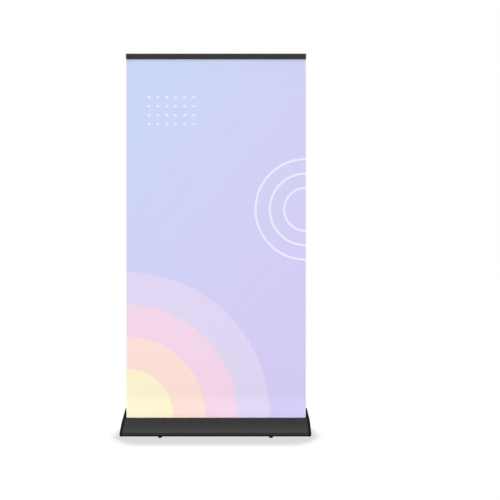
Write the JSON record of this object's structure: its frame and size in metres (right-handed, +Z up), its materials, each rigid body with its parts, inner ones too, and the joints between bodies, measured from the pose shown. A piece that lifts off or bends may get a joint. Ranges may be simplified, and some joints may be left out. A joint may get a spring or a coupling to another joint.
{
  "type": "roll-up banner stand",
  "caption": "Freestanding roll-up banner stand: a tall printed film drawn from a wide low base up to a slim clamp rail held by a leaning rear pole.",
  "frame": {"origin": "middle of the footprint on the floor", "axes": "+X across the banner to the right as seen from the front, +Y from the printed front towards the pole, +Z up"},
  "size_m": [1.052, 0.2042, 2.1208],
  "materials": {
    "black_anodised": "satin black anodised",
    "black_plastic": "fine-textured matt black",
    "mill_aluminium": "mill",
    "steel": "zinc plated",
    "black_rubber": "matt",
    "felt": "matt pile",
    "printed_film": "matt printed front, light grey back",
    "elastic_cord": "braided"
  },
  "bodies": {
    "base": {"base_profile": "black_anodised", "end_cap_left": "black_plastic", "end_cap_right": "black_plastic", "cap_screw_left_1": "steel", "cap_screw_left_2": "steel", "cap_screw_left_3": "steel", "cap_screw_left_4": "steel", "cap_screw_right_1": "steel", "cap_screw_right_2": "steel", "cap_screw_right_3": "steel", "cap_screw_right_4": "steel", "slot_felt_front": "felt", "slot_felt_rear": "felt", "idle_bush": "black_plastic", "spring_arbor": "steel", "arbor_holder": "black_plastic", "spring_anchor": "black_plastic", "torsion_spring": "steel", "pole_socket": "black_plastic", "socket_screw_left": "steel", "socket_screw_right": "steel", "foot_insert_left": "steel", "foot_insert_right": "steel", "rear_pad_left": "black_rubber", "rear_pad_right": "black_rubber"},
    "roller": {"roller_tube": "mill_aluminium", "wound_graphic": "printed_film", "idle_plug": "black_plastic", "spring_drive_plug": "black_plastic"},
    "top_rail": {"rail_back_profile": "black_anodised", "rail_cap_left": "black_plastic", "rail_cap_right": "black_plastic", "rail_catch": "black_plastic", "catch_screw_left": "steel", "catch_screw_right": "steel", "graphic_panel": "printed_film"},
    "rail_jaw": {"rail_front_jaw": "black_anodised"},
    "pole_lower": {"pole_foot_plug": "black_plastic", "pole_lower_tube": "black_anodised", "pole_ferrule_lower": "steel", "shock_cord": "elastic_cord"},
    "pole_mid": {"pole_mid_tube": "black_anodised", "pole_ferrule_upper": "steel"},
    "pole_top": {"pole_top_tube": "black_anodised", "pole_head": "black_plastic"},
    "foot_left": {"foot_pad_left": "black_rubber"},
    "stud_left": {"foot_screw_left": "steel"},
    "foot_right": {"foot_pad_right": "black_rubber"},
    "stud_right": {"foot_screw_right": "steel"}
  },
  "joints": [
    {"name": "rail_slide", "type": "slide", "parent": "base", "child": "top_rail", "axis": [0, 0, 1], "range_m": [-1.975, 0], "deforming": ["graphic_panel"]},
    {"name": "roller_spin", "type": "hinge", "parent": "base", "child": "roller", "pos_m": [0, -0.0025, 0.048], "axis": [1, 0, 0], "range_deg": [-1, 5266]},
    {"name": "jaw_hinge", "type": "hinge", "parent": "top_rail", "child": "rail_jaw", "pos_m": [0, -0.0255, 2.1109], "axis": [-1, 0, 0], "range_deg": [0, 55]},
    {"name": "pole_lift", "type": "slide", "parent": "base", "child": "pole_lower", "axis": [0, -0.0223, 0.9998], "range_m": [0, 0.07]},
    {"name": "pole_mid_pull", "type": "slide", "parent": "pole_lower", "child": "pole_mid", "axis": [0, -0.0223, 0.9998], "range_m": [0, 0.05]},
    {"name": "pole_top_pull", "type": "slide", "parent": "pole_mid", "child": "pole_top", "axis": [0, -0.0223, 0.9998], "range_m": [0, 0.05]},
    {"name": "foot_travel_left", "type": "slide", "parent": "base", "child": "foot_left", "axis": [0, 0, 1], "range_m": [-0.008, 0.003]},
    {"name": "foot_turn_left", "type": "hinge", "parent": "foot_left", "child": "stud_left", "pos_m": [-0.303, -0.0775, 0], "axis": [0, 0, 1], "range_deg": [-2307, 867]},
    {"name": "foot_travel_right", "type": "slide", "parent": "base", "child": "foot_right", "axis": [0, 0, 1], "range_m": [-0.008, 0.003]},
    {"name": "foot_turn_right", "type": "hinge", "parent": "foot_right", "child": "stud_right", "pos_m": [0.303, -0.0775, 0], "axis": [0, 0, 1], "range_deg": [-2307, 867]}
  ],
  "couplings": [
    {"joint": "roller_spin", "follows": "rail_slide", "rad_per_m": -46.512},
    {"joint": "foot_turn_left", "follows": "foot_travel_left", "rad_per_m": 5026.6},
    {"joint": "foot_turn_right", "follows": "foot_travel_right", "rad_per_m": 5026.6}
  ]
}
